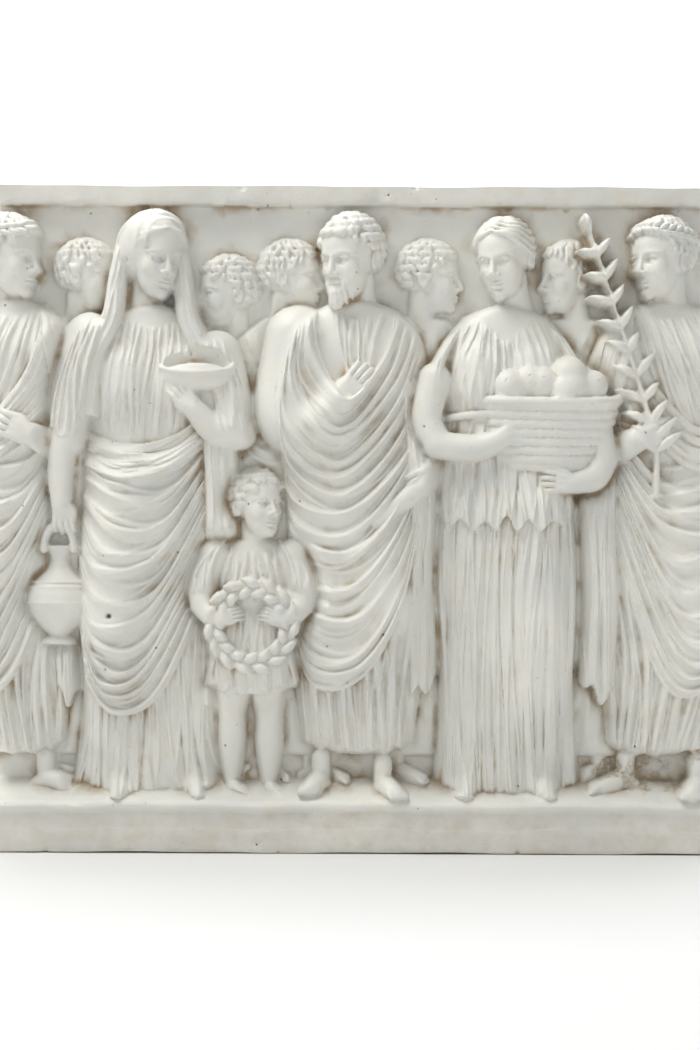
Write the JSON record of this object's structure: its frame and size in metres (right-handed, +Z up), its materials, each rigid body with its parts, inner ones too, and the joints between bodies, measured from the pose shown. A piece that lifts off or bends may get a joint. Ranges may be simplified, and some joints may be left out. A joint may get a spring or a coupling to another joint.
{
  "type": "plaster wall relief",
  "caption": "Rectangular plaster cast of a classical frieze: draped figures in procession in high and low relief between a top fillet and a moulded ledge.",
  "frame": {"origin": "middle of the flat back face, at the wall", "axes": "+X to the right along the panel's length, +Y back into the wall, +Z up; the carved front faces -Y"},
  "size_m": [0.48, 0.06, 0.45],
  "materials": {
    "plaster": "aged warm-white gypsum plaster, satin where handled, with grey-brown grime in the hollows"
  },
  "bodies": {
    "root": {"relief_panel": "plaster"}
  },
  "joints": []
}
